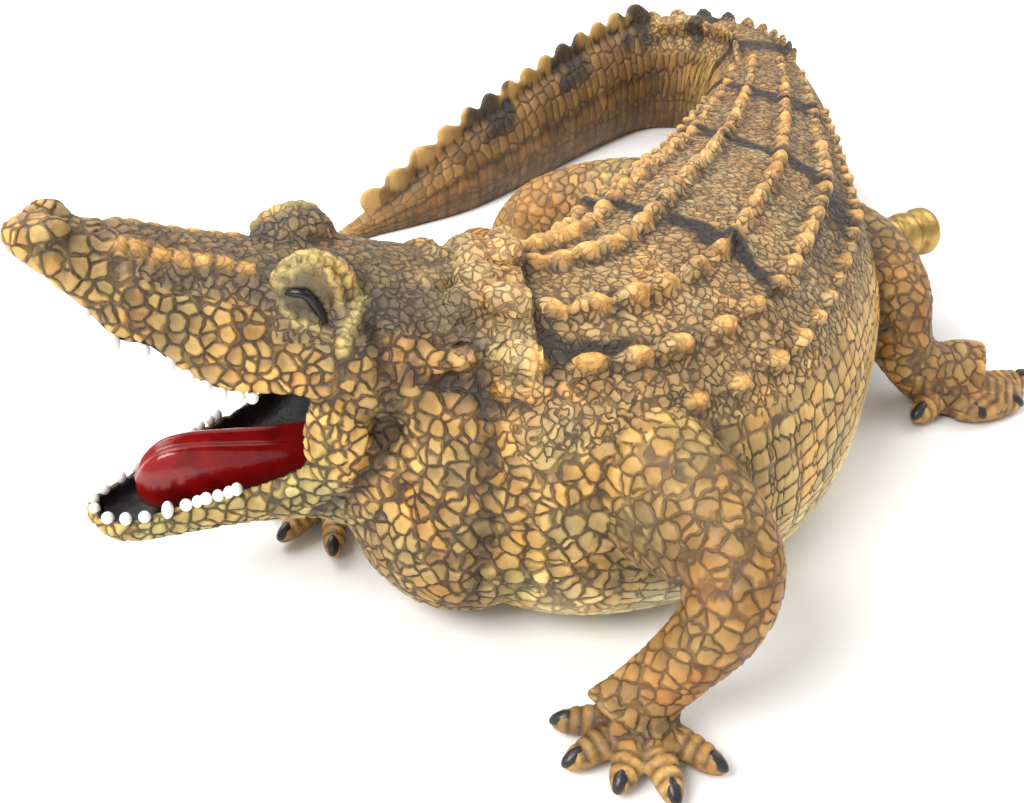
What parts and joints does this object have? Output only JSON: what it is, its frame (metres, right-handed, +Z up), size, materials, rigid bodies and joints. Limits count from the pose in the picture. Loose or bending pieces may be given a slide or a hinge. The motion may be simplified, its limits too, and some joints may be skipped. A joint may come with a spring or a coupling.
{
  "type": "alligator fountain statue",
  "caption": "Garden pond spitter: a painted cast alligator lying with its tail curled round and its mouth open, with a ridged brass hose connector at the rump.",
  "frame": {"origin": "middle of the bounding box on the ground plane", "axes": "+Z up, the open mouth faces -Y, the hose connector points along +Y, the animal's left side faces +X and the curled tail lies at -X"},
  "size_m": [0.3736, 0.3516, 0.1215],
  "materials": {
    "painted_resin": "hand painted resin with a semi-matte coat",
    "brass": "satin"
  },
  "bodies": {
    "root": {"alligator_casting": "painted_resin", "hose_connector": "brass"}
  },
  "joints": []
}
